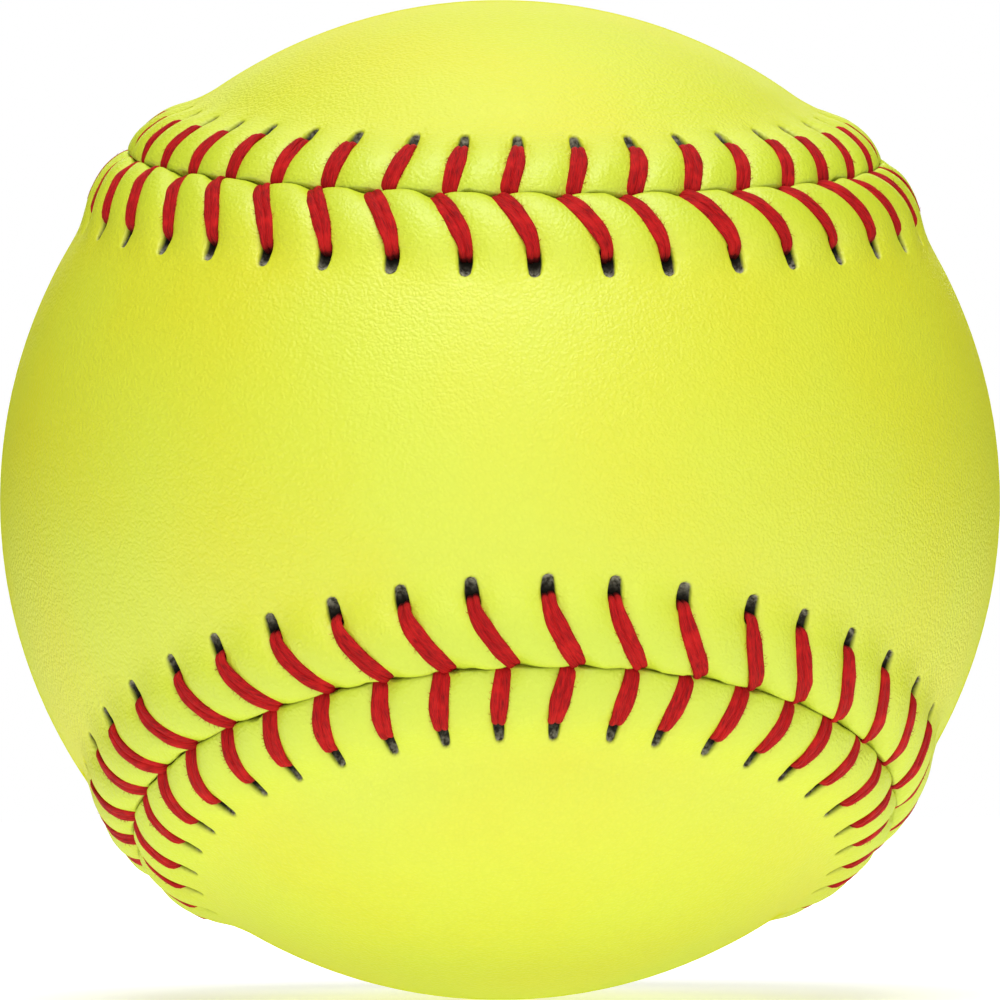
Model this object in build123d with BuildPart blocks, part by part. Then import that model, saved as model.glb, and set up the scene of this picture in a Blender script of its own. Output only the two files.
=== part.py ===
"""Twelve inch raised seam softball: a moulded core, a film of cement, two figure-eight leather panels and the
stitches that sew them together. Millimetres, +Z up, origin at the centre of the ball. The narrow waist of the
front panel faces -Y, and the round lobes of the rear panel meet it above and below."""

import os
from math import acos, atan2, cos, degrees, pi, radians, sin, sqrt

from build123d import *

# Ball
CIRCUMFERENCE = 304.8
COVER_THICKNESS = 1.3
CEMENT_THICKNESS = 0.2

# Lie: how far the front panel's waist is turned up from level
WAIST_TURNED_UP = 6.0  # degrees

# Seam line: four equal arcs on the ball, two round each panel's lobes
WAIST_WIDTH = 44.5  # seam to seam across a panel's waist, along the surface
SEAM_GAP = 0.3

# Raised margin on each side of the seam, as heights over the smooth ball and distances from the seam
EDGE_HEIGHT = 0.7
CROWN_HEIGHT = 1.55
CROWN_OFFSET = 2.6
MARGIN_WIDTH = 10.5
SHOULDER_SHARE = 0.45  # how far down the slope the convex shoulder turns into the hollow skirt

# Stitches
STITCHES = 88  # in each panel
THREAD_WIDTH = 1.9
THREAD_THICKNESS = 0.55
THREAD_CLEARANCE = 0.06
THREAD_STEPS = 5  # straight lengths along the visible thread
HIDDEN_THICKNESS = 0.45  # thread under the leather
HIDDEN_CLEARANCE = 0.12  # its height over the cement at its ends
THREAD_NECK_WIDTH = 1.0  # where the thread is squeezed through its hole
THREAD_NECK_LENGTH = 0.9
THREAD_FLARE_LENGTH = 1.3
FRONT_PASSAGE_OFFSET = 6.15  # distance from the seam at which the thread goes through the leather
REAR_PASSAGE_OFFSET = 5.15
PASSAGE_DEPTH = 0.7  # thread thickness inside the hole

# Stitches enter the seam a little unevenly, further on or back along it in waves
ENTRY_SHIFT = 0.8
ENTRY_SWING_ONCE = 0.8  # once round the seam
ENTRY_SWING_TWICE = 1.4  # twice round the seam
REAR_ENTRY_LAG = 1.2  # how far behind the front panel's stitches the rear panel's enter
REAR_ENTRY_SWING = 0.5

# Each hole lies back along the seam from where its stitch enters the seam
FRONT_HOLE_LAG = 2.6
REAR_HOLE_LAG = 1.2
REAR_HOLE_SWING = 0.95

# Punched holes: slots in line with their stitch
HOLE_WIDTH = 1.2
HOLE_INNER_REACH = 1.25  # from the thread towards the seam
HOLE_OUTER_REACH = 2.2  # from the thread away from the seam

# Derived sizes
BALL_RADIUS = CIRCUMFERENCE / (2 * pi)
UNDERSIDE_RADIUS = BALL_RADIUS - COVER_THICKNESS
CORE_RADIUS = UNDERSIDE_RADIUS - CEMENT_THICKNESS
SEAM_PEAK = pi / 2 - WAIST_WIDTH / 2 / BALL_RADIUS
LOBE_TILT = atan2(sqrt(0.5) - cos(SEAM_PEAK), sin(SEAM_PEAK))
ARC_POLAR = SEAM_PEAK - LOBE_TILT  # angle from a lobe's axis out to the seam
ARC_TURN = 2 * acos(-sqrt(0.5) * sin(LOBE_TILT) / sin(ARC_POLAR))
ARC_LENGTH = ARC_TURN * BALL_RADIUS * sin(ARC_POLAR)
SEAM_LENGTH = 4 * ARC_LENGTH
PITCH = SEAM_LENGTH / STITCHES
CUT_REACH = 3 * COVER_THICKNESS  # how far cutting tools stand out of the leather on each side
CENTRE = Vector(0, 0, 0)


def lie(direction):
    """A direction of the ball with its waist level, turned to how the ball lies."""
    return direction.rotate(Axis.X, -WAIST_TURNED_UP)


class SeamArc:
    """One of the four arcs of the seam: its lobe's axis, the turn along it and the plane of its first section."""

    def __init__(self, axis, start, turn_sign):
        self.axis = lie(Vector(axis))
        self.start = lie(Vector(start).normalized())
        across = (self.start - self.axis * self.start.dot(self.axis)).normalized()
        self.section = Plane(CENTRE, x_dir=across, z_dir=across.cross(self.axis))
        self.turning = Axis(CENTRE, self.axis * turn_sign)
        self.waist_middle = Plane(CENTRE, z_dir=lie(Vector(axis[0], 0, axis[2])))


UP, OUT = cos(LOBE_TILT), sin(LOBE_TILT)
ARCS = [
    SeamArc((0, -OUT, UP), (1, 0, 1), -1),
    SeamArc((-UP, OUT, 0), (-1, 0, 1), 1),
    SeamArc((0, -OUT, -UP), (-1, 0, -1), -1),
    SeamArc((UP, OUT, 0), (1, 0, -1), 1),
]
FRONT, REAR = 1, -1  # a panel's sign: the front panel lies outside the first arc's lobe


def side_on(arc_number, panel):
    """1 where the panel lies outside that arc's lobe, and -1 where it is the lobe."""
    return panel if arc_number % 2 == 0 else -panel


def section_point(side, offset, height):
    """A point of an arc's section, at a distance from the seam and a height over the smooth ball."""
    angle = ARC_POLAR + side * offset / BALL_RADIUS
    radius = BALL_RADIUS + height
    return Vector(radius * sin(angle), radius * cos(angle))


def section_level(side, offset):
    """The direction level with the ball at that distance from the seam, pointing away from the seam."""
    angle = ARC_POLAR + side * offset / BALL_RADIUS
    return Vector(cos(angle), -sin(angle)) * side


def section_arc(side, from_offset, to_offset, height):
    """An arc concentric with the ball between two distances from the seam."""
    middle = (from_offset + to_offset) / 2
    return ThreePointArc(*[section_point(side, o, height) for o in (from_offset, middle, to_offset)])


def slope_height(offset):
    """Height of the straight line from the crown down to the foot of the margin."""
    return CROWN_HEIGHT * (MARGIN_WIDTH - offset) / (MARGIN_WIDTH - CROWN_OFFSET)


SHOULDER_OFFSET = CROWN_OFFSET + SHOULDER_SHARE * (MARGIN_WIDTH - CROWN_OFFSET)


def rolled_edge(side, raise_by):
    """The margin's surface, or one parallel to it, from the seam's edge up to the crown."""
    crown = section_point(side, CROWN_OFFSET, CROWN_HEIGHT + raise_by)
    edge = section_point(side, SEAM_GAP / 2, EDGE_HEIGHT + raise_by)
    return TangentArc(crown, edge, tangent=-section_level(side, CROWN_OFFSET))


def shoulder(side, raise_by):
    """The same surface from the crown down to where it turns hollow."""
    crown = section_point(side, CROWN_OFFSET, CROWN_HEIGHT + raise_by)
    turn = section_point(side, SHOULDER_OFFSET, slope_height(SHOULDER_OFFSET) + raise_by)
    return TangentArc(crown, turn, tangent=section_level(side, CROWN_OFFSET))


def skirt(side, raise_by):
    """The same surface from there down to the smooth ball."""
    turn = section_point(side, SHOULDER_OFFSET, slope_height(SHOULDER_OFFSET) + raise_by)
    foot = section_point(side, MARGIN_WIDTH, raise_by)
    return TangentArc(foot, turn, tangent=-section_level(side, MARGIN_WIDTH))


def seam_frame(along):
    """At a distance along the seam: the direction from the ball's centre, and the way to the front panel."""
    arc_number = int(along // ARC_LENGTH) % 4
    arc = ARCS[arc_number]
    angle = degrees((along % ARC_LENGTH) / ARC_LENGTH * ARC_TURN)
    point = arc.start.rotate(arc.turning, angle)
    away_from_lobe = (point * point.dot(arc.axis) - arc.axis).normalized()
    return point, away_from_lobe * side_on(arc_number, FRONT)


def ball_point(along, offset, panel):
    """The direction of a point on a panel, at a distance along the seam and a distance from it."""
    point, to_front = seam_frame(along)
    angle = offset / BALL_RADIUS
    return point * cos(angle) + to_front * panel * sin(angle)


class Stitch:
    """One stitch on one panel: the plane over its middle, with x running from its hole to the seam."""

    def __init__(self, number, panel):
        round_seam = 2 * pi * (number + 0.5) / STITCHES
        twice_round = cos(2 * round_seam)
        entry_along = (number + 0.5) * PITCH + ENTRY_SHIFT
        entry_along += ENTRY_SWING_ONCE * cos(round_seam - pi / 4) + ENTRY_SWING_TWICE * twice_round
        hole_lag = FRONT_HOLE_LAG
        self.passage_offset = FRONT_PASSAGE_OFFSET
        if panel == REAR:
            entry_along += REAR_ENTRY_SWING * twice_round - REAR_ENTRY_LAG
            hole_lag = REAR_HOLE_LAG + REAR_HOLE_SWING * twice_round
            self.passage_offset = REAR_PASSAGE_OFFSET
        entry = ball_point(entry_along % SEAM_LENGTH, 0, panel)
        passage = ball_point((entry_along - hole_lag) % SEAM_LENGTH, self.passage_offset, panel)
        self.middle = (entry + passage).normalized()
        self.heading = (entry - passage).normalized()
        self.length = BALL_RADIUS * radians(entry.get_angle(passage))
        self.slant = -panel * hole_lag / self.passage_offset

    def plane(self, along):
        """The plane that touches the ball at a distance along the stitch from its middle, positive to the seam."""
        angle = along / BALL_RADIUS
        outward = self.middle * cos(angle) + self.heading * sin(angle)
        heading = self.heading * cos(angle) - self.middle * sin(angle)
        return Plane(outward * BALL_RADIUS, x_dir=heading, z_dir=outward)

    def side_plane(self):
        """The plane through the ball's centre that holds the stitch, with x to the seam and y outward."""
        return Plane(CENTRE, x_dir=self.heading, z_dir=self.heading.cross(self.middle))

    def section_angle(self, offset):
        """The angle round the ball from the stitch's middle to a distance from the seam."""
        return (0.5 - offset / self.passage_offset) * self.length / BALL_RADIUS

    def section_point(self, offset, height):
        """A point of the side plane, at a distance of the panel from the seam and a height over the smooth ball."""
        angle = self.section_angle(offset)
        return Vector(sin(angle), cos(angle)) * (BALL_RADIUS + height)

    def aside(self, offset):
        """The way across the stitch in the side plane's axes, slanted to run level with the seam."""
        angle = self.section_angle(offset)
        return Vector(self.slant * cos(angle), -self.slant * sin(angle), 1)


HOLE_LENGTH = HOLE_INNER_REACH + HOLE_OUTER_REACH
HOLE_SHIFT = (HOLE_OUTER_REACH - HOLE_INNER_REACH) / 2
FRONT_STITCHES = [Stitch(number, FRONT) for number in range(STITCHES)]
REAR_STITCHES = [Stitch(number, REAR) for number in range(STITCHES)]


def hole_planes(stitches):
    """The planes on which the holes of these stitches are punched."""
    return [s.plane(-s.length / 2 - HOLE_SHIFT) for s in stitches]


def margin_section(side):
    """Outline of the raised margin seen along the seam, from the cut edge of the leather to the smooth ball."""
    with BuildLine() as outline:
        rolled_edge(side, 0)
        shoulder(side, 0)
        skirt(side, 0)
        Line(section_point(side, MARGIN_WIDTH, 0), section_point(side, MARGIN_WIDTH, -COVER_THICKNESS))
        skirt(side, -COVER_THICKNESS)
        shoulder(side, -COVER_THICKNESS)
        rolled_edge(side, -COVER_THICKNESS)
        Line(
            section_point(side, SEAM_GAP / 2, EDGE_HEIGHT - COVER_THICKNESS),
            section_point(side, SEAM_GAP / 2, EDGE_HEIGHT),
        )
    return outline.edges()


def punched_margin(panel, stitches):
    """A panel's raised margin along the four arcs of the seam, with the holes for its stitches."""
    with BuildPart() as margin:
        for number, arc in enumerate(ARCS):
            with BuildSketch(arc.section):
                make_face(margin_section(side_on(number, panel)))
            revolve(axis=arc.turning, revolution_arc=degrees(ARC_TURN))
        with BuildSketch(*hole_planes(stitches)):
            SlotOverall(HOLE_LENGTH, HOLE_WIDTH)
        extrude(amount=CUT_REACH, both=True, mode=Mode.SUBTRACT)
    return margin.part


def middle_section(side, reach):
    """Outline of the smooth leather seen along the seam, from the margin out to a distance."""
    with BuildLine() as outline:
        section_arc(side, MARGIN_WIDTH, reach, 0)
        Line(section_point(side, reach, 0), section_point(side, reach, -COVER_THICKNESS))
        section_arc(side, MARGIN_WIDTH, reach, -COVER_THICKNESS)
        Line(section_point(side, MARGIN_WIDTH, -COVER_THICKNESS), section_point(side, MARGIN_WIDTH, 0))
    return outline.edges()


LOBE_REACH = ARC_POLAR * BALL_RADIUS  # from the seam to the middle of a lobe
WAIST_REACH = (pi / 2 + LOBE_TILT - ARC_POLAR) * BALL_RADIUS  # from the seam past the middle of the waist


def middle_skins(panel):
    """The outer and inner faces of a panel's smooth middle: two halves of its waist and its two lobes."""
    skins = []
    for number, arc in enumerate(ARCS):
        side = side_on(number, panel)
        with BuildPart() as smooth:
            with BuildSketch(arc.section):
                make_face(middle_section(side, WAIST_REACH if side > 0 else LOBE_REACH))
            revolve(axis=arc.turning, revolution_arc=degrees(ARC_TURN))
            if side > 0:
                split(bisect_by=arc.waist_middle, keep=Keep.TOP)
        skins += smooth.faces().filter_by(GeomType.SPHERE)
    return skins


def leather_panel(margin, panel):
    """One panel: the faces of its punched margin joined to those of its smooth middle."""
    foot_level = BALL_RADIUS + (EDGE_HEIGHT - COVER_THICKNESS) / 2
    feet = [f for f in margin.faces().filter_by(GeomType.CONE) if f.center().length < foot_level]
    kept = [f for f in margin.faces() if f not in feet]
    return Solid(Shell(kept + middle_skins(panel)))


def margin_height(offset):
    """Height of the margin's outer face over the smooth ball, from the cut edge to where the margin turns hollow."""
    if offset < CROWN_OFFSET:
        run, drop = CROWN_OFFSET - SEAM_GAP / 2, CROWN_HEIGHT - EDGE_HEIGHT
    else:
        run, drop = SHOULDER_OFFSET - CROWN_OFFSET, CROWN_HEIGHT - slope_height(SHOULDER_OFFSET)
    return CROWN_HEIGHT - drop * ((offset - CROWN_OFFSET) / run) ** 2


def thread_half_width(stitch, offset):
    """Half the width of a stitch at a distance from the seam: full width, narrowing to the neck at its hole."""
    from_passage = (1 - offset / stitch.passage_offset) * stitch.length
    share = min(max((from_passage - THREAD_NECK_LENGTH) / THREAD_FLARE_LENGTH, 0), 1)
    return (THREAD_NECK_WIDTH + share * (THREAD_WIDTH - THREAD_NECK_WIDTH)) / 2


def cross_section(stitch, first, second, offset):
    """A flat four-cornered section of a stitch, across two points of its side outline and level with the seam."""
    plane = stitch.side_plane()
    half = stitch.aside(offset) * thread_half_width(stitch, offset)
    corners = [first + half, second + half, second - half, first - half]
    return Face(Wire.make_polygon([plane.from_local_coords(corner) for corner in corners]))


def thread_loop(stitch):
    """One stitch: over the margin from the seam, down its hole and back under the leather to the seam."""
    passage = stitch.passage_offset
    inside = passage - PASSAGE_DEPTH / 2
    outside = passage + PASSAGE_DEPTH / 2
    floor = HIDDEN_CLEARANCE - COVER_THICKNESS
    ceiling = floor + HIDDEN_THICKNESS
    flare_start = passage * (1 - (THREAD_NECK_LENGTH + THREAD_FLARE_LENGTH) / stitch.length)
    neck_start = passage * (1 - THREAD_NECK_LENGTH / stitch.length)
    visible = [SEAM_GAP / 2 + (flare_start - SEAM_GAP / 2) * step / THREAD_STEPS for step in range(THREAD_STEPS)]
    sections = []
    for offset in visible + [flare_start, neck_start]:
        under = stitch.section_point(offset, margin_height(offset) + THREAD_CLEARANCE)
        over = stitch.section_point(offset, margin_height(offset) + THREAD_CLEARANCE + THREAD_THICKNESS)
        sections.append(cross_section(stitch, under, over, offset))
    under = stitch.section_point(inside, margin_height(inside) + THREAD_CLEARANCE)
    over = stitch.section_point(outside, margin_height(outside) + THREAD_CLEARANCE + THREAD_THICKNESS)
    sections.append(cross_section(stitch, under, over, passage))
    under = stitch.section_point(inside, ceiling)
    over = stitch.section_point(outside, floor)
    sections.append(cross_section(stitch, under, over, passage))
    for offset in [neck_start, flare_start, SEAM_GAP / 2]:
        under = stitch.section_point(offset, ceiling)
        over = stitch.section_point(offset, floor)
        sections.append(cross_section(stitch, under, over, offset))
    return loft(sections, ruled=True, mode=Mode.PRIVATE)


# Core: a ball of moulded polyurethane
with BuildPart() as core:
    Sphere(CORE_RADIUS)

# Cement: the film that bonds the cover to the core
with BuildPart() as cement:
    Sphere(UNDERSIDE_RADIUS)
    Sphere(CORE_RADIUS, mode=Mode.SUBTRACT)

# Front panel
front_margin = punched_margin(FRONT, FRONT_STITCHES)
with BuildPart() as front_panel:
    add(leather_panel(front_margin, FRONT), clean=False)

# Rear panel: the same, with its lobes where the front panel has its waist
rear_margin = punched_margin(REAR, REAR_STITCHES)
with BuildPart() as rear_panel:
    add(leather_panel(rear_margin, REAR), clean=False)

# Stitches of each panel
front_loops = [thread_loop(stitch) for stitch in FRONT_STITCHES]
with BuildPart() as front_stitches:
    add(front_loops)

rear_loops = [thread_loop(stitch) for stitch in REAR_STITCHES]
with BuildPart() as rear_stitches:
    add(rear_loops)

os.makedirs("parts", exist_ok=True)
for name, piece in {
    "core": core,
    "cement_film": cement,
    "front_cover_panel": front_panel,
    "rear_cover_panel": rear_panel,
    "front_panel_stitches": front_stitches,
    "rear_panel_stitches": rear_stitches,
}.items():
    piece.part.label = name
    export_step(piece.part, f"parts/{name}.step")
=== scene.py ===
"""Looks of the softball: two figure-eight leather panels with a raised margin along their seam, and the
two-ply thread that sews them together. Sizes of the ball are in millimetres until a mesh is made.
The stage, the lamps and the textures are in metres."""

import math

import bpy
import numpy as np
from mathutils import Matrix, Vector
from mathutils.geometry import delaunay_2d_cdt


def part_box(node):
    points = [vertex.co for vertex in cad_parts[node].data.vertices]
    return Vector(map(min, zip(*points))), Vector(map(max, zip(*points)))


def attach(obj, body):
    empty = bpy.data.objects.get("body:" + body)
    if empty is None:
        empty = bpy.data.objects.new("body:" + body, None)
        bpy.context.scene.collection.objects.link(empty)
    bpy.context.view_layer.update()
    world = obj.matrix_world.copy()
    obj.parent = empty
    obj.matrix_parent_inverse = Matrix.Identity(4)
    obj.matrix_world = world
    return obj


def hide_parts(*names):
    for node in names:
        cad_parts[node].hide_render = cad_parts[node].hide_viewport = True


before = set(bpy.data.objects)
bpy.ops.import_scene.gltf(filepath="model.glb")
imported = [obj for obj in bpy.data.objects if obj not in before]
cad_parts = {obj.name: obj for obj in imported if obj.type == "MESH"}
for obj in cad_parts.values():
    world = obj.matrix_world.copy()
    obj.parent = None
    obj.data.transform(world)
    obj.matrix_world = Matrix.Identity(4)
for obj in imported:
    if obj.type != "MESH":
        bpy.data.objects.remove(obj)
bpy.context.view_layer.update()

# Ball, as in the frame
MM = 0.001
low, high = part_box("rear_cover_panel")
BALL_RADIUS = (high.z - low.z) / 2 / MM
COVER_THICKNESS = 1.3
WAIST_TURNED_UP = math.radians(6.0)

# Seam line: four equal arcs on the ball, two round each panel's lobes
WAIST_WIDTH = 44.5
SEAM_PEAK = math.pi / 2 - WAIST_WIDTH / 2 / BALL_RADIUS
LOBE_TILT = math.atan2(math.sqrt(0.5) - math.cos(SEAM_PEAK), math.sin(SEAM_PEAK))
ARC_POLAR = SEAM_PEAK - LOBE_TILT
ARC_TURN = 2 * math.acos(-math.sqrt(0.5) * math.sin(LOBE_TILT) / math.sin(ARC_POLAR))
ARC_LENGTH = ARC_TURN * BALL_RADIUS * math.sin(ARC_POLAR)
SEAM_LENGTH = 4 * ARC_LENGTH
FRONT, REAR = 1, -1

# Raised margin: heights over the smooth ball and distances from the seam
EDGE_HEIGHT = 0.9  # where the edges press together
CROWN_HEIGHT = 1.55
CROWN_OFFSET = 2.6
EDGE_OFFSET = 0.08  # of the panel's cut edge, before it wanders
MARGIN_WIDTH = 10.5
SHOULDER_SHARE = 0.45  # how far down the slope the convex shoulder turns into the hollow skirt
SHOULDER_OFFSET = CROWN_OFFSET + SHOULDER_SHARE * (MARGIN_WIDTH - CROWN_OFFSET)
BAND_WIDTH = 12.4  # how far the fine mesh along the seam reaches

# Stitches: where they enter the seam, a little unevenly, and how far back along it their holes lie
STITCHES = 88
PITCH = SEAM_LENGTH / STITCHES
ENTRY_SHIFT = 0.8
ENTRY_SWING_ONCE = 0.8
ENTRY_SWING_TWICE = 1.4
REAR_ENTRY_LAG = 1.2
REAR_ENTRY_SWING = 0.5
FRONT_HOLE_LAG = 3.4
REAR_HOLE_LAG = 1.2
REAR_HOLE_SWING = 0.95
ENTRY_SCATTER = 0.13  # spread of single stitches along the seam
HOLE_SCATTER = 0.22
PASSAGE_OFFSETS = {FRONT: 6.15, REAR: 5.15}  # how far from the seam the thread goes through the leather
LEAN_END = 1.15  # where the lean of a stitch ends, as a share of the distance out to its hole

# Thread
THREAD_WIDTH = 1.8
THREAD_NECK = 1.3
THREAD_LIFT = 0.2  # of its middle over the leather
PLY_THICKNESS = 0.58
PLY_SPACING = 0.215  # of a ply from the middle, as a share of the thread's width
PLY_HALF_WIDTH = 0.285  # share of the thread's width
PLY_SIDES = 16
HAIRS = 30  # loose fibres on each stitch
HAIR_SIDES = 3
HAIR_RADII = (0.022, 0.018, 0.008)

# Holes: reaches from where the thread goes through
HOLE_WIDTH = 1.3
HOLE_INNER = 0.6
HOLE_OUTER = 2.5
HOLE_DEPTH = 1.0
HOLE_TAPER = 0.16
LIP_HEIGHT = 0.07  # of the rim round a hole's outer end
DIMPLE_DEPTH = 0.1  # of the leather round a hole

# Leather pulled in by the stitches
GROOVE_REACH = 1.15  # to each side of a stitch
PINCH_DEPTH = 0.44
EDGE_PINCH_DEPTH = 0.3  # added at the panel's edge
PINCH_SPREAD = 0.2  # share by which single stitches differ
PILLOW_HEIGHT = 0.2  # between two stitches
SETTLING = 0.06  # of the whole stitched margin
EDGE_UNEVENNESS = 0.08
SWELL_HEIGHT = 0.06
EDGE_ROUNDING = 0.16
EDGE_ROUNDING_REACH = 0.14
EDGE_WANDER = 0.17  # of the panel's edge, away from the seam and back
EDGE_CLOSING = 0.13  # by which the whole edge is moved towards the seam
EDGE_SHIFTS = (-0.055, 0.28)  # limits of both together

# Mesh
WALL_STEPS = np.array([0.3, 0.65])  # down the panel's cut edge, as shares of its thickness
UNDER_EVERY = 3  # rows of the outer side for each row of the under side
FADE_RINGS = [(12.8, 2), (13.5, 4), (14.6, 8)]  # distance from the seam, and every how many mesh lines
FILL_SPACING = 1.6


def row_direction(v):
    """A direction seen with the waist level (x right, y up, z to the viewer), in the row frame."""
    x, y, z = v
    level = np.array([x, -z, y])
    c, s = math.cos(-WAIST_TURNED_UP), math.sin(-WAIST_TURNED_UP)
    return np.array([level[0], c * level[1] - s * level[2], s * level[1] + c * level[2]])


def unit(v):
    """Vectors scaled to length 1."""
    return v / np.linalg.norm(v, axis=-1, keepdims=True)


UP, OUT = math.cos(LOBE_TILT), math.sin(LOBE_TILT)
LOBE_AXES = [(0, UP, OUT), (-UP, 0, -OUT), (0, -UP, OUT), (UP, 0, -OUT)]
ARC_ENDS = [(1, 1, 0), (-1, 1, 0), (-1, -1, 0), (1, -1, 0)]
ARC_AXES = np.array([row_direction(v) for v in LOBE_AXES])
ARC_STARTS = unit(np.array([row_direction(v) for v in ARC_ENDS]))
ARC_SPINS = np.array([-1.0, 1.0, -1.0, 1.0])
ARC_SIDES = np.array([1.0, -1.0, 1.0, -1.0])  # 1 where the front panel lies outside the arc's lobe


def seam_frame(along):
    """At distances along the seam: the direction from the ball's centre, and the way to the front panel."""
    along = np.mod(along, SEAM_LENGTH)
    arc = np.minimum((along // ARC_LENGTH).astype(int), 3)
    angle = ((along - arc * ARC_LENGTH) / ARC_LENGTH * ARC_TURN)[..., None]
    axis, start = ARC_AXES[arc], ARC_STARTS[arc]
    on_axis = (axis * start).sum(-1, keepdims=True) * axis
    across = start - on_axis
    turned = np.cross(axis * ARC_SPINS[arc][..., None], across)
    point = on_axis + across * np.cos(angle) + turned * np.sin(angle)
    away = unit(point * (point * axis).sum(-1, keepdims=True) - axis)
    return point, away * ARC_SIDES[arc][..., None]


def ball_point(along, offset, panel):
    """Directions of points on a panel, at distances along the seam and from it."""
    point, to_front = seam_frame(along)
    angle = (offset / BALL_RADIUS)[..., None]
    return point * np.cos(angle) + to_front * panel * np.sin(angle)


def wander(along, seed, waves):
    """Smooth random heights round the closed seam, about -1 to 1, from waves in a range of counts."""
    draw = np.random.default_rng(seed)
    total = np.zeros_like(along)
    count = 24
    for wave in draw.integers(waves[0], waves[1], count):
        total += np.sin(2 * math.pi * wave * along / SEAM_LENGTH + draw.uniform(0, 2 * math.pi))
    return total / math.sqrt(count)


def smooth(low_end, high_end, value):
    """0 below low_end, 1 above high_end and a smooth step between."""
    t = np.clip((value - low_end) / (high_end - low_end), 0, 1)
    return t * t * (3 - 2 * t)


class Panel:
    """One panel: where its stitches are and how high its leather stands.

    Along is a distance on a seam with even stitches. place() turns it into the true distance."""

    def __init__(self, sign, seed):
        self.sign = sign
        self.seed = seed
        self.passage = PASSAGE_OFFSETS[sign]
        draw = np.random.default_rng(seed)
        self.entries = (np.arange(STITCHES) + 0.5) * PITCH
        self.lag_noise = draw.normal(0, HOLE_SCATTER, STITCHES)
        self.entry_noise = draw.normal(0, ENTRY_SCATTER, STITCHES)

    def per_stitch(self, along, values):
        """One value per stitch, blended between neighbours."""
        return np.interp(along, self.entries, values, period=SEAM_LENGTH)

    def place(self, along):
        """The true distance along the seam."""
        once = 2 * math.pi * along / SEAM_LENGTH
        place = along + ENTRY_SHIFT + ENTRY_SWING_ONCE * np.cos(once - math.pi / 4)
        place = place + ENTRY_SWING_TWICE * np.cos(2 * once) + self.per_stitch(along, self.entry_noise)
        if self.sign == REAR:
            place = place - REAR_ENTRY_LAG + REAR_ENTRY_SWING * np.cos(2 * once)
        return place

    def lag(self, along):
        """How far back along the seam the hole of the stitch that enters here lies."""
        lag = np.full_like(along, FRONT_HOLE_LAG)
        if self.sign == REAR:
            lag = REAR_HOLE_LAG + REAR_HOLE_SWING * np.cos(4 * math.pi * along / SEAM_LENGTH)
        return lag + self.per_stitch(along, self.lag_noise)

    def directions(self, along, offset):
        """Directions at distances from the seam, on lines that lean with the stitches and end straight."""
        lean = np.sin(math.pi / 2 * np.minimum(offset / (LEAN_END * self.passage), 1))
        return ball_point(self.place(along) - self.lag(along) * lean, offset, self.sign)

    def base_height(self, offset):
        """The margin's height without its stitches."""
        roll = (CROWN_OFFSET - offset) / CROWN_OFFSET
        turn_height = CROWN_HEIGHT * (MARGIN_WIDTH - SHOULDER_OFFSET) / (MARGIN_WIDTH - CROWN_OFFSET)
        fall = (offset - CROWN_OFFSET) / (SHOULDER_OFFSET - CROWN_OFFSET)
        skirt = np.clip((MARGIN_WIDTH - offset) / (MARGIN_WIDTH - SHOULDER_OFFSET), 0, 1)
        inner = CROWN_HEIGHT - (CROWN_HEIGHT - EDGE_HEIGHT) * roll**2
        shoulder = CROWN_HEIGHT - (CROWN_HEIGHT - turn_height) * fall**2
        outer = np.where(offset < SHOULDER_OFFSET, shoulder, turn_height * skirt**2)
        return np.where(offset < CROWN_OFFSET, inner, outer)

    def height(self, along, offset):
        """The leather's height over the smooth ball without holes: pinched by the stitches, full between."""
        beside = np.mod(along, PITCH) - PITCH / 2
        groove = np.exp(-((beside / GROOVE_REACH) ** 2))
        reach = 1 - smooth(self.passage - 0.3, self.passage + 3.4, offset)
        near_edge = 1 - smooth(0.1, 2.2, offset)
        pull = self.per_stitch(along, 1 + PINCH_SPREAD * np.sin(np.arange(STITCHES) * 2.4 + self.seed))
        pinch = (PINCH_DEPTH + EDGE_PINCH_DEPTH * near_edge) * pull
        pillow = PILLOW_HEIGHT * np.sin(math.pi * beside / PITCH) ** 2
        uneven = EDGE_UNEVENNESS * wander(along, self.seed + 1, (30, 160)) * (1 - smooth(0.5, 4.0, offset))
        swell = SWELL_HEIGHT * wander(along, self.seed + 2, (8, 60)) * (1 - smooth(4.0, 11.0, offset))
        from_edge = np.maximum(offset - EDGE_OFFSET, 0)
        rounding = EDGE_ROUNDING * np.exp(-from_edge / EDGE_ROUNDING_REACH)
        stitched = reach * (pillow - pinch * groove - SETTLING)
        return self.base_height(offset) + stitched + uneven + swell - rounding

    def hole_distance(self, along, offset):
        """Signed distance to the rim of the nearest punched hole, and how far out along the hole."""
        beside = np.mod(along, PITCH) - PITCH / 2
        out = offset - self.passage
        middle = (HOLE_OUTER - HOLE_INNER) / 2
        straight = (HOLE_OUTER + HOLE_INNER - HOLE_WIDTH) / 2
        ends = np.maximum(np.abs(out - middle) - straight, 0)
        taper = HOLE_TAPER * smooth(0.6, HOLE_OUTER, out)
        return np.hypot(ends, beside) - HOLE_WIDTH / 2 + taper, out

    def rows(self):
        """Distances from the seam of the mesh rows, close together at the edge and round the holes."""
        edge = [EDGE_OFFSET, 0.12, 0.19, 0.3, 0.46, 0.68]
        margin = np.linspace(0.95, self.passage - 0.75, 9, endpoint=False)
        holes = np.arange(self.passage - 0.75, self.passage + 2.8, 0.19)
        return np.concatenate([edge, margin, holes, np.linspace(self.passage + 3.05, BAND_WIDTH, 6)])


def columns():
    """Places of the mesh lines in one stitch pitch, close together at the hole's rim."""
    half = [0.22, 0.42, 0.54, 0.67, 0.88, 1.22, 1.68, 2.2]
    return np.array([-x for x in reversed(half)] + [0.0] + half + [PITCH / 2])


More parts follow.
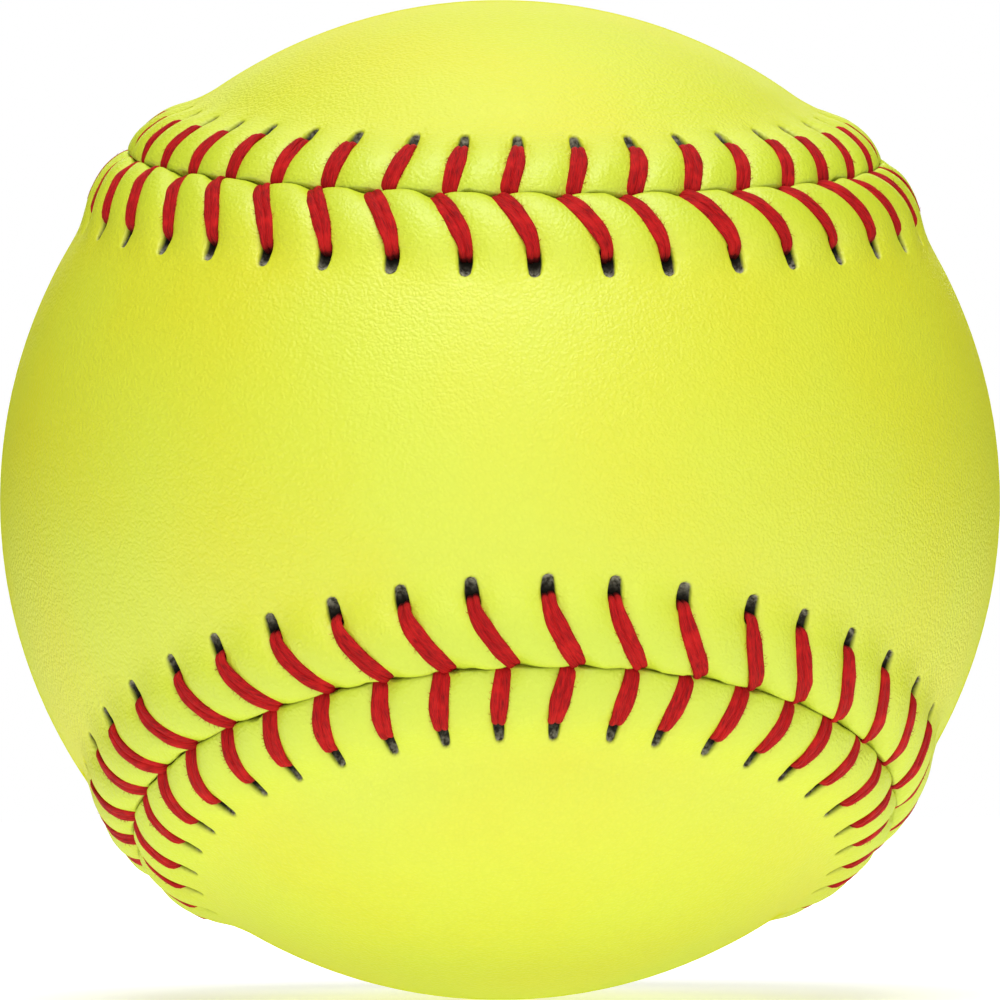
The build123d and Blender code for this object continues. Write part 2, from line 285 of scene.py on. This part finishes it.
def fill_points(panel):
    """Evenly spread directions in the smooth middle of a panel."""
    count = int(4 * math.pi * BALL_RADIUS**2 / FILL_SPACING**2)
    index = np.arange(count) + 0.5
    z = 1 - 2 * index / count
    turn = index * math.pi * (3 - math.sqrt(5))
    flat = np.sqrt(1 - z * z)
    points = np.stack([flat * np.cos(turn), flat * np.sin(turn), z], -1)
    seam, to_front = seam_frame(np.linspace(0, SEAM_LENGTH, 720, endpoint=False))
    nearness = points @ seam.T
    nearest = nearness.argmax(1)
    far = np.arccos(np.clip(nearness.max(1), -1, 1)) * BALL_RADIUS > FADE_RINGS[-1][0] + 0.8
    side = (points * to_front[nearest]).sum(1) * panel.sign > 0
    return points[far & side]


def fill_triangles(directions, loop_size, panel):
    """Triangles over the smooth middle, from its rim and points inside, by a flat map that keeps circles."""
    centre = row_direction((0, 0, panel.sign))
    right = unit(np.cross(centre, [0.3, 0.2, 1.0]))
    up = np.cross(centre, right)
    scale = 1 + directions @ centre
    flat = [Vector((x, y)) for x, y in zip(directions @ right / scale, directions @ up / scale)]
    loop = list(range(loop_size))
    _, _, triangles, kept, _, _ = delaunay_2d_cdt(flat, [], [loop], 1, 1e-9)
    return [[kept[corner][0] for corner in triangle] for triangle in triangles]


def grid_quads(first, rows, count, flip):
    """Quads of a closed band of rows of vertices."""
    quads = []
    for row in range(rows - 1):
        here = first + row * count + np.arange(count)
        there = np.roll(here, -1)
        quad = np.stack([here, there, there + count, here + count], -1)
        quads.append(quad[:, ::-1] if flip else quad)
    return np.concatenate(quads)


def edge_quads(row_starts, count, flip):
    """Quads down a panel's cut edge, between closed rows of vertices that start at these indices."""
    quads = []
    for here, there in zip(row_starts[:-1], row_starts[1:]):
        a, b = here + np.arange(count), there + np.arange(count)
        quad = np.stack([np.roll(a, -1), a, b, np.roll(b, -1)], -1)
        quads.append(quad[:, ::-1] if flip else quad)
    return np.concatenate(quads)


def punched_heights(panel, along, rows):
    """Heights of the outer side with holes and without, the depth in a hole and the way out along it."""
    plain = panel.height(along, rows)
    rim, out = panel.hole_distance(along, rows)
    depth = HOLE_DEPTH * (1 - 0.6 * smooth(0.9, HOLE_OUTER, out))
    pit = 1 - smooth(-0.24, 0.06, rim)
    lip = LIP_HEIGHT * np.exp(-(((rim - 0.2) / 0.2) ** 2)) * smooth(0.6, 1.6, out)
    dimple = DIMPLE_DEPTH * np.exp(-((np.maximum(rim, 0) / 0.7) ** 2))
    return plain - pit * depth + lip - dimple, plain, pit, out


def panel_mesh(panel):
    """The leather of a panel as one closed shell, with the values per vertex that its material uses."""
    along = (panel.entries[:, None] + columns()[None, :]).ravel()
    count = len(along)
    edge_shift = EDGE_WANDER * wander(along, panel.seed + 3, (40, 190)) - EDGE_CLOSING
    edge_shift = np.clip(edge_shift, *EDGE_SHIFTS)

    def shifted(rows):
        return rows + edge_shift * (1 - smooth(0.2, 2.0, rows))

    # Outer side of the band along the seam
    band_rows = panel.rows()
    along_grid, rows = np.meshgrid(along, band_rows)
    heights, plain, pit, out = punched_heights(panel, along_grid, rows)
    directions = panel.directions(along_grid, shifted(rows))
    outer = directions * (BALL_RADIUS + heights)[..., None]

    # Cut edge and under side of the band
    edge_radius = BALL_RADIUS + plain[0]
    walls = [directions[0] * (edge_radius - step * COVER_THICKNESS)[:, None] for step in WALL_STEPS]
    under_steps = np.append(band_rows[:-1:UNDER_EVERY], BAND_WIDTH)
    under_along, under_rows = np.meshgrid(along, under_steps)
    under_directions = panel.directions(under_along, shifted(under_rows))
    under_height = panel.height(under_along, under_rows) - COVER_THICKNESS
    under = under_directions * (BALL_RADIUS + under_height)[..., None]

    # Smooth middle, the same on both sides
    rings = []
    for ring, every in FADE_RINGS:
        some = along[::every]
        rings.append(panel.directions(some, np.full(len(some), ring)))
    fill = np.concatenate(rings + [fill_points(panel)])
    rim_and_fill = np.concatenate([directions[-1], fill])
    triangles = np.array(fill_triangles(rim_and_fill, count, panel))

    # Vertices in blocks, and the faces between them
    blocks = [outer.reshape(-1, 3), fill * BALL_RADIUS, np.concatenate(walls), under.reshape(-1, 3)]
    blocks.append(fill * (BALL_RADIUS - COVER_THICKNESS))
    starts = np.cumsum([0] + [len(block) for block in blocks])
    last_row = (len(band_rows) - 1) * count
    under_last = starts[3] + (len(under_steps) - 1) * count
    top = np.where(triangles < count, triangles + last_row, triangles - count + starts[1])
    bottom = np.where(triangles < count, triangles + under_last, triangles - count + starts[4])[:, ::-1]
    flip = panel.sign < 0
    faces = [
        grid_quads(0, len(band_rows), count, flip),
        edge_quads([0, starts[2], starts[2] + count, starts[3]], count, flip),
        grid_quads(starts[3], len(under_steps), count, not flip),
        top,
        bottom,
    ]

    # What the leather's material needs to know
    hole, tip, edge = (np.zeros(starts[-1]) for _ in range(3))
    seam = np.full(starts[-1], BAND_WIDTH)
    hole[: starts[1]] = pit.ravel()
    tip[: starts[1]] = smooth(0.5, HOLE_OUTER, out).ravel()
    edge[: starts[1]] = (1 - smooth(0.02, 0.2, rows - EDGE_OFFSET)).ravel()
    edge[starts[2] : starts[3]] = 1
    seam[: starts[1]] = rows.ravel()
    attributes = {"hole": hole, "hole_tip": tip, "cut_edge": edge, "seam": seam}
    return np.concatenate(blocks), sum((part.tolist() for part in faces), []), attributes


def make_object(name, vertices, faces, attributes, material, body="root"):
    """A smooth mesh in the row frame that rides on the body."""
    mesh = bpy.data.meshes.new(name)
    mesh.from_pydata((vertices * MM).tolist(), [], faces)
    mesh.validate()
    mesh.shade_smooth()
    for key, values in attributes.items():
        layer = mesh.attributes.new(key, "FLOAT", "POINT")
        layer.data.foreach_set("value", np.asarray(values, np.float32))
    mesh.materials.append(material)
    piece = bpy.data.objects.new(name, mesh)
    bpy.context.scene.collection.objects.link(piece)
    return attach(piece, body)


def thread_stations(panel):
    """Along a visible stitch, from its hole into the seam: distance from the seam, lift and width."""
    over = np.linspace(panel.passage - 0.35, 0.7, 16)
    down_hole = panel.passage + np.array([0.27, 0.25, 0.17, -0.03])
    offset = np.concatenate([down_hole, over, [0.42, 0.22, 0.1, 0.06]])
    lift = np.full(len(offset), THREAD_LIFT)
    lift[:4] = -1.0, -0.62, -0.2, 0.08
    lift[-4:] = 0.14, -0.08, -0.45, -0.95
    flare = 1 - smooth(panel.passage - 2.2, panel.passage, offset)
    width = THREAD_NECK + (THREAD_WIDTH - THREAD_NECK) * flare
    return offset, lift, width


class MeshParts:
    """Vertices, faces and attributes of many small shapes, gathered for one mesh."""

    def __init__(self):
        self.vertices, self.faces, self.count = [], [], 0
        self.values = {"run": [], "turn": [], "buried": []}

    def tube(self, rings, **values):
        """A capped tube through rings of vertices, an array of stations by corners by 3."""
        stations, corners = rings.shape[:2]
        first = self.count
        self.vertices.append(rings.reshape(-1, 3))
        self.faces += grid_quads(first, stations, corners, True).tolist()
        self.faces.append(list(range(first, first + corners)))
        last = first + (stations - 1) * corners
        self.faces.append(list(reversed(range(last, last + corners))))
        self.count += stations * corners
        for key, value in values.items():
            self.values[key].append(np.broadcast_to(value, (stations, corners)).ravel())

    def result(self):
        """Vertices, faces and attributes."""
        attributes = {key: np.concatenate(values) for key, values in self.values.items()}
        return np.concatenate(self.vertices), self.faces, attributes


def loose_fibre(draw, middle, side, normal, forward, width):
    """Rings of a short fibre that stands off one side of a thread, at a random place."""
    at = draw.integers(5, len(middle) - 5)
    edge = draw.choice([-1, 1])
    root = middle[at] + side[at] * edge * width[at] * 0.44 + normal[at] * draw.uniform(0.0, 0.2)
    out = side[at] * edge + normal[at] * draw.uniform(0.1, 0.8) + forward[at] * draw.normal(0, 0.7)
    out = unit(out)
    bend = forward[at] * draw.normal(0, 0.12)
    length = draw.uniform(0.1, 0.4)
    spine = [root + out * length * t + bend * t * t for t in (0, 0.5, 1.0)]
    across = unit(np.cross(out, normal[at]))
    over = np.cross(across, out)
    corners = np.linspace(0, 2 * math.pi, HAIR_SIDES, endpoint=False)
    ring = across * np.cos(corners)[:, None] + over * np.sin(corners)[:, None]
    return np.array([point + ring * radius for point, radius in zip(spine, HAIR_RADII)])


def thread_mesh(panel):
    """All the visible stitches of a panel, each of two plies with a few loose fibres."""
    offset, lift, width = thread_stations(panel)
    draw = np.random.default_rng(panel.seed + 7)
    around = np.linspace(0, 2 * math.pi, PLY_SIDES, endpoint=False) - math.pi / 2
    turn = (around / (2 * math.pi))[None, :]
    stations = len(offset)
    buried = 1 - smooth(-0.7, 0.0, lift)[:, None]
    parts = MeshParts()
    for entry in panel.entries:
        along = np.full(stations, entry)
        height = panel.height(along, offset)
        middle = panel.directions(along, offset) * (BALL_RADIUS + height + lift)[:, None]
        forward = unit(np.gradient(middle, axis=0))
        side = unit(np.cross(unit(middle), forward))
        normal = np.cross(forward, side)
        roll = draw.uniform(-0.07, 0.07)
        wide = draw.uniform(0.94, 1.06)
        for ply in (-1, 1):
            sway = 0.04 * np.sin(np.linspace(0, 3, stations) + draw.uniform(0, 6))
            aside = ply * wide * width * PLY_SPACING + sway
            centre = middle + side * aside[:, None] + normal * ply * roll
            lengths = np.linalg.norm(np.diff(centre, axis=0), axis=1)
            run = np.concatenate([[0], np.cumsum(lengths)])[:, None]
            strand = 1 + 0.06 * np.cos(3 * around[None, :] + run * 1.6)
            x = wide * width[:, None] * PLY_HALF_WIDTH * np.cos(around)[None, :] * strand
            y = PLY_THICKNESS / 2 * np.sin(around)[None, :] * strand
            rings = centre[:, None, :] + side[:, None, :] * x[..., None] + normal[:, None, :] * y[..., None]
            parts.tube(rings, run=run + draw.uniform(0, 50), turn=turn, buried=buried)
        for _ in range(HAIRS):
            rings = loose_fibre(draw, middle, side, normal, forward, width)
            parts.tube(rings, run=draw.uniform(0, 50), turn=0.5, buried=0.0)
    return parts.result()


# Materials
def new_material(name):
    """A material, its node tree and its shader."""
    material = bpy.data.materials.new(name)
    material.use_nodes = True
    tree = material.node_tree
    return material, tree, tree.nodes["Principled BSDF"]


def node(tree, kind, **settings):
    """A node with its properties, or its inputs by name, set."""
    made = tree.nodes.new(kind)
    for key, value in settings.items():
        if hasattr(made, key):
            setattr(made, key, value)
        else:
            made.inputs[key.replace("_", " ")].default_value = value
    return made


def mix_colour(tree, factor, first, second):
    """A colour mix. Each of the three may be a socket or a value."""
    mixer = tree.nodes.new("ShaderNodeMix")
    mixer.data_type = "RGBA"
    for socket, value in ((mixer.inputs[0], factor), (mixer.inputs[6], first), (mixer.inputs[7], second)):
        if isinstance(value, bpy.types.NodeSocket):
            tree.links.new(value, socket)
        else:
            socket.default_value = value
    return mixer.outputs[2]


def ramp(tree, value, low_end, high_end, low_out=0.0, high_out=1.0):
    """A clamped linear remap of a socket."""
    remap = node(tree, "ShaderNodeMapRange")
    for index, number in ((1, low_end), (2, high_end), (3, low_out), (4, high_out)):
        remap.inputs[index].default_value = number
    tree.links.new(value, remap.inputs[0])
    return remap.outputs[0]


def leather_material():
    """Dyed leather with a fine pebbled grain, with painted shade that makes it greener along the seam,
    darker on its cut edge and dark in its punched holes.
    """
    material, tree, shader = new_material("optic_yellow_leather")
    links = tree.links
    place = node(tree, "ShaderNodeTexCoord").outputs["Object"]

    def noise(scale, detail, roughness=0.5):
        made = node(tree, "ShaderNodeTexNoise", Scale=scale, Detail=detail, Roughness=roughness)
        links.new(place, made.inputs["Vector"])
        return made.outputs[0]

    def attribute(name):
        return node(tree, "ShaderNodeAttribute", attribute_name=name).outputs["Fac"]

    yellow = (0.655, 0.725, 0.040, 1)
    warm = (0.69, 0.69, 0.022, 1)
    # Painted shade along the seam's raised margin
    seam_shade_green = (0.52, 0.68, 0.032, 1)
    pore = (0.50, 0.60, 0.02, 1)
    speck = (0.80, 0.80, 0.22, 1)
    # Painted shade on the cut edge, in the gap between the panels
    cut_edge_shade = (0.30, 0.33, 0.05, 1)
    # The next three colours paint the holes: shade round pale torn fibres, and near black shade at the deep
    # end
    torn_in_shade = (0.07, 0.064, 0.05, 1)
    torn_pale = (0.40, 0.38, 0.29, 1)
    hole_shade = (0.018, 0.016, 0.012, 1)

    # Colour: cloudy yellow, with painted shade that turns it greener along the seam's raised margin
    colour = mix_colour(tree, ramp(tree, noise(45, 3), 0.35, 0.7), yellow, warm)
    colour = mix_colour(tree, ramp(tree, attribute("seam"), 9.0, 2.5, 0.0, 0.5), colour, seam_shade_green)

    # Colour: pores between the pebbles of the grain, and a few pale specks
    grain = node(tree, "ShaderNodeTexVoronoi", Scale=2700, feature="F1")
    warp = node(tree, "ShaderNodeVectorMath", operation="MULTIPLY_ADD")
    bend = node(tree, "ShaderNodeTexNoise", Scale=1400, Detail=2)
    links.new(place, bend.inputs["Vector"])
    links.new(bend.outputs["Color"], warp.inputs[0])
    warp.inputs[1].default_value = (0.0006, 0.0006, 0.0006)
    links.new(place, warp.inputs[2])
    links.new(warp.outputs[0], grain.inputs["Vector"])
    pores = ramp(tree, grain.outputs["Distance"], 0.05, 0.75)
    colour = mix_colour(tree, ramp(tree, pores, 0.35, 1.0, 0.0, 0.12), colour, pore)
    specks = ramp(tree, noise(2600, 2), 0.7, 0.78, 0.0, 0.2)
    colour = mix_colour(tree, specks, colour, speck)

    # Colour: painted shade on the cut edge in the seam gap, and painted shade in the holes, near black at
    # their deep end, round pale torn fibres nearer the outer end
    colour = mix_colour(tree, ramp(tree, attribute("cut_edge"), 0.5, 1.0, 0.0, 0.5), colour, cut_edge_shade)
    torn = mix_colour(tree, ramp(tree, noise(2200, 3), 0.4, 0.65), torn_in_shade, torn_pale)
    hole_shade_and_lining = mix_colour(tree, attribute("hole_tip"), hole_shade, torn)
    colour = mix_colour(tree, ramp(tree, attribute("hole"), 0.05, 0.5), colour, hole_shade_and_lining)
    links.new(colour, shader.inputs["Base Color"])

    # Gloss: satin, fading where the leather is seen edge on, and none in the holes
    links.new(ramp(tree, attribute("hole"), 0.1, 0.4, 0.5, 1.0), shader.inputs["Roughness"])
    facing = node(tree, "ShaderNodeLayerWeight", Blend=0.5).outputs["Facing"]
    gloss = node(tree, "ShaderNodeMath", operation="MULTIPLY")
    links.new(ramp(tree, facing, 0.25, 0.95, 0.75, 0.0), gloss.inputs[0])
    links.new(ramp(tree, attribute("hole"), 0.1, 0.4, 1.0, 0.0), gloss.inputs[1])
    links.new(gloss.outputs[0], shader.inputs["Specular IOR Level"])

    # Grain
    pebble = node(tree, "ShaderNodeBump", Strength=0.45, Distance=0.0001, invert=True)
    links.new(pores, pebble.inputs["Height"])
    soft = node(tree, "ShaderNodeBump", Strength=0.1, Distance=0.0003)
    links.new(noise(1100, 4, 0.6), soft.inputs["Height"])
    links.new(pebble.outputs[0], soft.inputs["Normal"])
    links.new(soft.outputs[0], shader.inputs["Normal"])
    return material


def thread_material():
    """Waxed red thread: fine filaments that wind along each ply, darker in their creases."""
    material, tree, shader = new_material("waxed_red_thread")
    links = tree.links
    run = node(tree, "ShaderNodeAttribute", attribute_name="run").outputs["Fac"]
    turn = node(tree, "ShaderNodeAttribute", attribute_name="turn").outputs["Fac"]
    stretch = node(tree, "ShaderNodeCombineXYZ")
    wound = node(tree, "ShaderNodeMath", operation="MULTIPLY_ADD")
    links.new(run, wound.inputs[0])
    wound.inputs[1].default_value = 0.04
    links.new(turn, wound.inputs[2])
    links.new(wound.outputs[0], stretch.inputs[0])
    links.new(run, stretch.inputs[1])
    scaled = node(tree, "ShaderNodeMapping")
    scaled.inputs["Scale"].default_value = (30, 0.9, 1)
    links.new(stretch.outputs[0], scaled.inputs[0])
    filaments = node(tree, "ShaderNodeTexNoise", Scale=1.0, Detail=3, Roughness=0.65)
    links.new(scaled.outputs[0], filaments.inputs["Vector"])
    place = node(tree, "ShaderNodeTexCoord").outputs["Object"]
    blotch = node(tree, "ShaderNodeTexNoise", Scale=600, Detail=2)
    links.new(place, blotch.inputs["Vector"])
    dark = (0.16, 0.003, 0.004, 1)
    red = (0.50, 0.007, 0.008, 1)
    bright = (0.66, 0.016, 0.014, 1)
    in_shade = (0.04, 0.002, 0.002, 1)
    colour = mix_colour(tree, ramp(tree, filaments.outputs[0], 0.32, 0.58), dark, red)
    colour = mix_colour(tree, ramp(tree, blotch.outputs[0], 0.5, 0.75, 0.0, 0.6), colour, bright)
    buried = node(tree, "ShaderNodeAttribute", attribute_name="buried").outputs["Fac"]
    colour = mix_colour(tree, ramp(tree, buried, 0.0, 0.7, 0.0, 0.85), colour, in_shade)
    links.new(colour, shader.inputs["Base Color"])
    shader.inputs["Roughness"].default_value = 0.75
    shader.inputs["Specular IOR Level"].default_value = 0.15
    bump = node(tree, "ShaderNodeBump", Strength=0.6, Distance=0.00012)
    links.new(filaments.outputs[0], bump.inputs["Height"])
    links.new(bump.outputs[0], shader.inputs["Normal"])
    return material


def plain_material(name, first, second, scale, roughness):
    """A matte material with a mottle between two colours and a matching bump, for the pieces inside."""
    material, tree, shader = new_material(name)
    place = node(tree, "ShaderNodeTexCoord").outputs["Object"]
    mottle = node(tree, "ShaderNodeTexNoise", Scale=scale, Detail=5)
    tree.links.new(place, mottle.inputs["Vector"])
    tree.links.new(mix_colour(tree, mottle.outputs[0], first, second), shader.inputs["Base Color"])
    shader.inputs["Roughness"].default_value = roughness
    bump = node(tree, "ShaderNodeBump", Strength=0.3, Distance=0.0003)
    tree.links.new(mottle.outputs[0], bump.inputs["Height"])
    tree.links.new(bump.outputs[0], shader.inputs["Normal"])
    return material


def dress(name, material):
    """Gives a carried-over CAD node its material."""
    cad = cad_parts[name]
    cad.data.materials.clear()
    cad.data.materials.append(material)


# Pieces
leather = leather_material()
thread = thread_material()
dress("core", plain_material("moulded_core", (0.74, 0.68, 0.5, 1), (0.82, 0.77, 0.6, 1), 120, 0.7))
dress("cement_film", plain_material("cement_film", (0.30, 0.24, 0.10, 1), (0.40, 0.33, 0.15, 1), 300, 0.55))
for name, sign, seed in (("front", FRONT, 11), ("rear", REAR, 23)):
    panel = Panel(sign, seed)
    cover = make_object(f"{name}_leather", *panel_mesh(panel), leather)
    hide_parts(f"{name}_cover_panel")
    stitching = make_object(f"{name}_thread", *thread_mesh(panel), thread)
    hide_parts(f"{name}_panel_stitches")

# Camera: the photograph sees the middle of the front waist a little above and right of the ball's middle
CAMERA_DISTANCE = 13.91  # ball radii
WAIST_SEEN_UP = math.radians(8.41)
WAIST_SEEN_RIGHT = math.radians(5.72)
nod = np.array(Matrix.Rotation(-WAIST_SEEN_UP, 3, "X"))
turn = np.array(Matrix.Rotation(WAIST_SEEN_RIGHT, 3, "Y"))
right, up, back = (Vector(row_direction(axis)) for axis in turn @ nod)
camera = bpy.data.objects.new("camera", bpy.data.cameras.new("camera"))
bpy.context.scene.collection.objects.link(camera)
pose = Matrix((right, up, back)).transposed().to_4x4()
pose.translation = back * (CAMERA_DISTANCE * BALL_RADIUS * MM)
camera.matrix_world = pose
camera.data.sensor_width = 36
camera.data.lens = camera.data.sensor_width / 2 * math.sqrt(CAMERA_DISTANCE**2 - 1)
camera.data.clip_start = 0.05
camera.data.clip_end = 50
bpy.context.scene.camera = camera


# Stage: a pale floor that keeps the shadow, and a white room
FLOOR_SIZE = 8.0
FLOOR_COLOUR = (0.82, 0.82, 0.82, 1)
ROOM_LIGHT = 0.06
WHITE = (1, 1, 1, 1)


def stage_material():
    """Pale and softly lit from below, and white to the camera apart from the shadow that the ball casts."""
    material, tree, shader = new_material("pale_floor")
    shader.inputs["Base Color"].default_value = FLOOR_COLOUR
    shader.inputs["Roughness"].default_value = 0.9
    path = node(tree, "ShaderNodeLightPath")
    far = node(tree, "ShaderNodeVectorMath", operation="LENGTH")
    tree.links.new(node(tree, "ShaderNodeTexCoord").outputs["Object"], far.inputs[0])

    # Light given off: to the ball less with distance from it, to the camera more, up to white
    on_ball = ramp(tree, far.outputs["Value"], 0.15, 0.6, 0.56, 0.15)
    to_camera = ramp(tree, far.outputs["Value"], 0.1, 0.5, 0.42, 1.05)
    glow = node(tree, "ShaderNodeMix")
    tree.links.new(path.outputs["Is Camera Ray"], glow.inputs[0])
    tree.links.new(on_ball, glow.inputs[2])
    tree.links.new(to_camera, glow.inputs[3])
    shader.inputs["Emission Color"].default_value = WHITE
    tree.links.new(glow.outputs[0], shader.inputs["Emission Strength"])
    return material


floor_mesh = bpy.data.meshes.new("floor")
half = FLOOR_SIZE / 2
level = -BALL_RADIUS * MM
corners = [(-half, -half, level), (half, -half, level), (half, half, level), (-half, half, level)]
floor_mesh.from_pydata(corners, [], [(0, 1, 2, 3)])
floor_mesh.materials.append(stage_material())
floor = bpy.data.objects.new("floor", floor_mesh)
bpy.context.scene.collection.objects.link(floor)

world = bpy.data.worlds.new("room")
bpy.context.scene.world = world
world.use_nodes = True
room = world.node_tree
backdrop = room.nodes["Background"]
path = node(room, "ShaderNodeLightPath")
seen = node(room, "ShaderNodeMath", operation="MAXIMUM")
room.links.new(path.outputs["Is Camera Ray"], seen.inputs[0])
room.links.new(path.outputs["Is Transmission Ray"], seen.inputs[1])
backdrop.inputs["Color"].default_value = WHITE
room.links.new(ramp(room, seen.outputs[0], 0, 1, ROOM_LIGHT, 1.0), backdrop.inputs["Strength"])


def softbox(name, direction, distance, width, height, watts):
    """A lamp that faces the ball's centre from a direction and a distance."""
    lamp = bpy.data.lights.new(name, "AREA")
    lamp.shape = "RECTANGLE"
    lamp.size = width
    lamp.size_y = height
    lamp.energy = watts
    lit = bpy.data.objects.new(name, lamp)
    bpy.context.scene.collection.objects.link(lit)
    away = Vector(direction).normalized()
    lit.location = away * distance
    lit.rotation_mode = "QUATERNION"
    lit.rotation_quaternion = away.to_track_quat("Z", "Y")


softbox("overhead", (-0.08, -0.5, 1.0), 1.2, 0.8, 1.0, 14.4)
softbox("overhead_back", (0.1, 0.6, 1.0), 1.2, 0.9, 0.7, 4.0)
softbox("front", (-0.08, -1.0, 0.2), 1.2, 0.9, 0.6, 2.5)
softbox("right", (1.0, -0.8, 0.3), 1.3, 0.6, 0.6, 0.8)
softbox("back", (0.1, 1.0, 0.35), 1.4, 0.9, 0.6, 4.0)

view_settings = bpy.context.scene.view_settings
view_settings.view_transform = "Standard"
